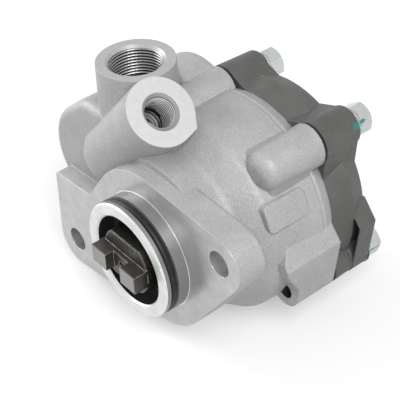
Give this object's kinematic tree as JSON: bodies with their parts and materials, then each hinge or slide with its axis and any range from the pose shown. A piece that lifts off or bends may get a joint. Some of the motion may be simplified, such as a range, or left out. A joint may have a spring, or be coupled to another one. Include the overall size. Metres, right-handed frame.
{
  "type": "power steering pump",
  "caption": "Flange-mounted hydraulic vane pump for truck power steering, with a threaded suction port, a slanted pressure port and a tang-driven shaft.",
  "frame": {"origin": "where the shaft axis meets the mounting face of the flange", "axes": "+Y runs along the shaft to the rear cover, +Z is the direction in which the suction port looks, +X completes the frame; the coupling end looks along -Y"},
  "size_m": [0.1432, 0.1165, 0.1211],
  "materials": {
    "cast_housing": "matte sand-cast with bright machined faces",
    "cast_cover": "dark matte as cast",
    "zinc_bolt": "zinc plated",
    "black_rubber": "satin black",
    "spring_steel": "dark phosphated",
    "ground_steel": "ground",
    "sintered_steel": "dark sintered",
    "hard_aluminium": "machined",
    "bronze": "satin"
  },
  "bodies": {
    "pump_body": {"housing": "cast_housing", "rear_cover": "cast_cover", "cover_bolts": "zinc_bolt", "pilot_o_ring": "black_rubber", "cover_o_ring": "black_rubber", "bearing_retaining_ring": "spring_steel", "shaft_seal_case": "ground_steel", "shaft_seal_lip": "black_rubber", "bearing_outer_race": "ground_steel", "cam_ring": "sintered_steel", "front_pressure_plate": "hard_aluminium", "rear_pressure_plate": "hard_aluminium", "dowel_pins": "ground_steel", "disc_spring": "spring_steel", "rear_bush": "bronze", "throttle_sleeve": "bronze", "sleeve_ring": "spring_steel", "flow_spring": "spring_steel"},
    "rotating_group": {"drive_shaft": "ground_steel", "coupling_driver": "sintered_steel", "rotor": "ground_steel", "rotor_clip": "spring_steel", "bearing_inner_race": "ground_steel", "bearing_clip": "spring_steel"},
    "ball_set": {"bearing_balls": "ground_steel", "bearing_cage": "bronze"},
    "spool": {"flow_spool": "ground_steel"},
    "blade_01": {"vane_01": "ground_steel"},
    "blade_02": {"vane_02": "ground_steel"},
    "blade_03": {"vane_03": "ground_steel"},
    "blade_04": {"vane_04": "ground_steel"},
    "blade_05": {"vane_05": "ground_steel"},
    "blade_06": {"vane_06": "ground_steel"},
    "blade_07": {"vane_07": "ground_steel"},
    "blade_08": {"vane_08": "ground_steel"},
    "blade_09": {"vane_09": "ground_steel"},
    "blade_10": {"vane_10": "ground_steel"}
  },
  "joints": [
    {"name": "shaft_spin", "type": "hinge", "parent": "pump_body", "child": "rotating_group", "pos_m": [0, 0, 0], "axis": [0, 1, 0], "continuous": true},
    {"name": "cage_spin", "type": "hinge", "parent": "pump_body", "child": "ball_set", "pos_m": [0, 0, 0], "axis": [0, 1, 0], "continuous": true},
    {"name": "spool_slide", "type": "slide", "parent": "pump_body", "child": "spool", "axis": [-0.6947, 0, -0.7193], "range_m": [0, 0.004], "stiffness_N_per_m": 9000, "deforming": ["flow_spring"]},
    {"name": "vane_01_slide", "type": "slide", "parent": "rotating_group", "child": "blade_01", "axis": [0.309, 0, -0.9511], "range_m": [0, 0.002]},
    {"name": "vane_02_slide", "type": "slide", "parent": "rotating_group", "child": "blade_02", "axis": [0.809, 0, -0.5878], "range_m": [0, 0.002]},
    {"name": "vane_03_slide", "type": "slide", "parent": "rotating_group", "child": "blade_03", "axis": [1, 0, 0], "range_m": [0, 0.002]},
    {"name": "vane_04_slide", "type": "slide", "parent": "rotating_group", "child": "blade_04", "axis": [0.809, 0, 0.5878], "range_m": [0, 0.002]},
    {"name": "vane_05_slide", "type": "slide", "parent": "rotating_group", "child": "blade_05", "axis": [0.309, 0, 0.9511], "range_m": [0, 0.002]},
    {"name": "vane_06_slide", "type": "slide", "parent": "rotating_group", "child": "blade_06", "axis": [-0.309, 0, 0.9511], "range_m": [0, 0.002]},
    {"name": "vane_07_slide", "type": "slide", "parent": "rotating_group", "child": "blade_07", "axis": [-0.809, 0, 0.5878], "range_m": [0, 0.002]},
    {"name": "vane_08_slide", "type": "slide", "parent": "rotating_group", "child": "blade_08", "axis": [-1, 0, 0], "range_m": [0, 0.002]},
    {"name": "vane_09_slide", "type": "slide", "parent": "rotating_group", "child": "blade_09", "axis": [-0.809, 0, -0.5878], "range_m": [0, 0.002]},
    {"name": "vane_10_slide", "type": "slide", "parent": "rotating_group", "child": "blade_10", "axis": [-0.309, 0, -0.9511], "range_m": [0, 0.002]}
  ],
  "couplings": [
    {"joint": "cage_spin", "follows": "shaft_spin", "ratio": 0.38387}
  ]
}
